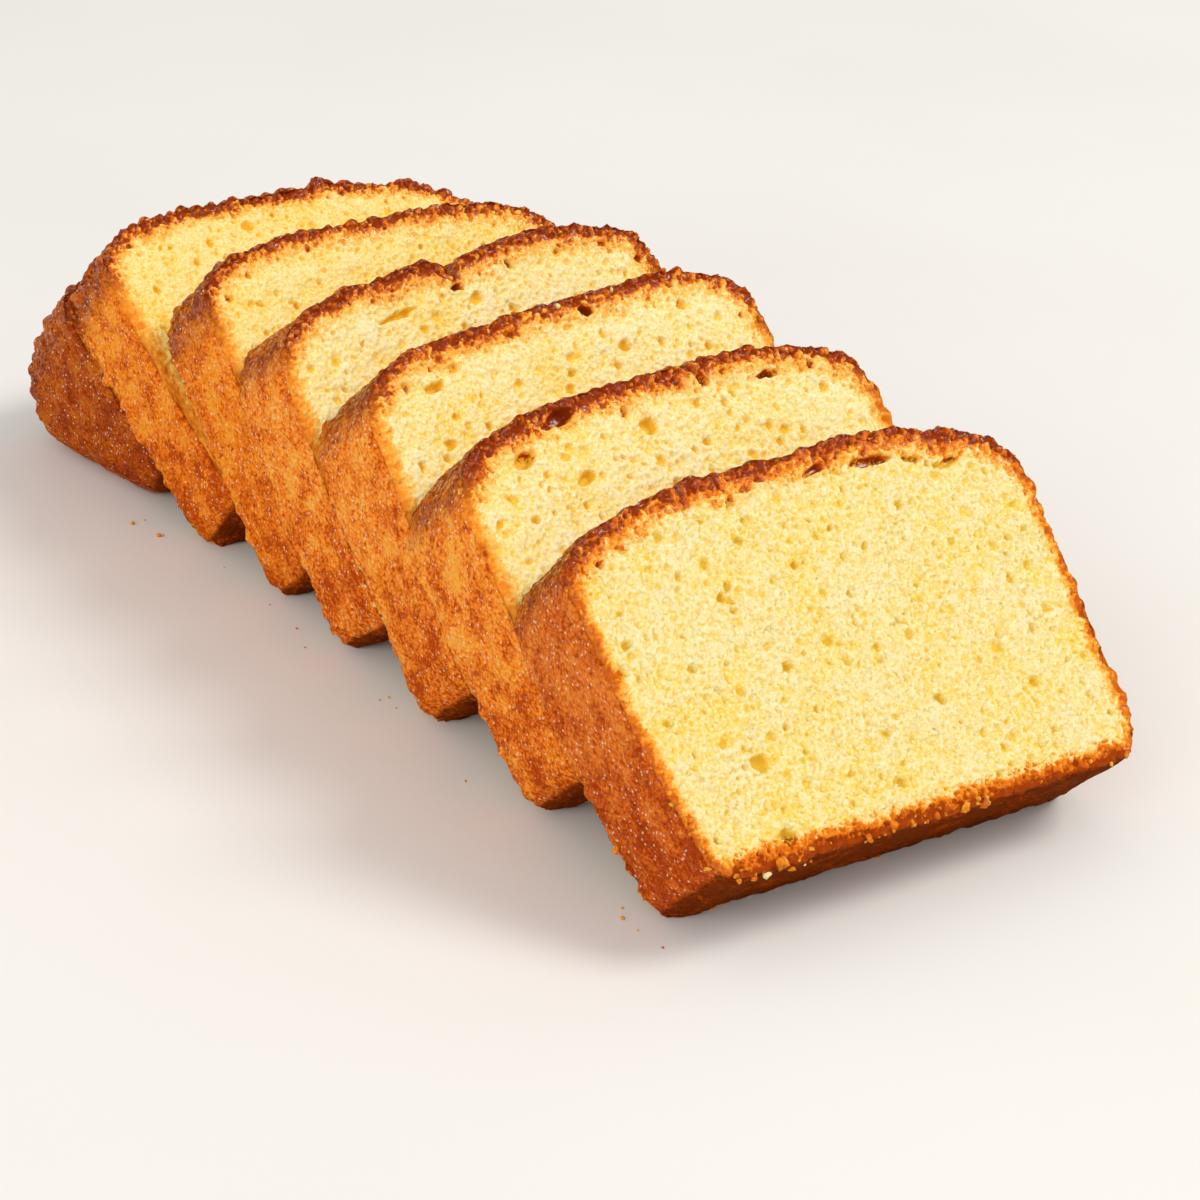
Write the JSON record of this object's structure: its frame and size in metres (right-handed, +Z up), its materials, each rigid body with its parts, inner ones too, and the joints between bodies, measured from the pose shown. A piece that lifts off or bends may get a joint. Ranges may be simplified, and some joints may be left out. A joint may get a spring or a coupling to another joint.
{
  "type": "sliced pound cake loaf",
  "caption": "Loaf of yellow pound cake, cut into thick slices that have toppled back like dominoes on its end piece, each with a browned crust.",
  "frame": {"origin": "middle of the footprint, on the ground", "axes": "+Z up, +X across the loaf, +Y along the row from the front slice to the end piece"},
  "size_m": [0.1036, 0.2652, 0.067],
  "materials": {
    "crumb": "soft open crumb, matt",
    "crust": "browned crust, slightly moist"
  },
  "bodies": {
    "root": {"end_piece": "crust", "slice_1": "crumb", "slice_2": "crumb", "slice_3": "crumb", "slice_4": "crumb", "slice_5": "crumb", "slice_6": "crumb"}
  },
  "joints": []
}
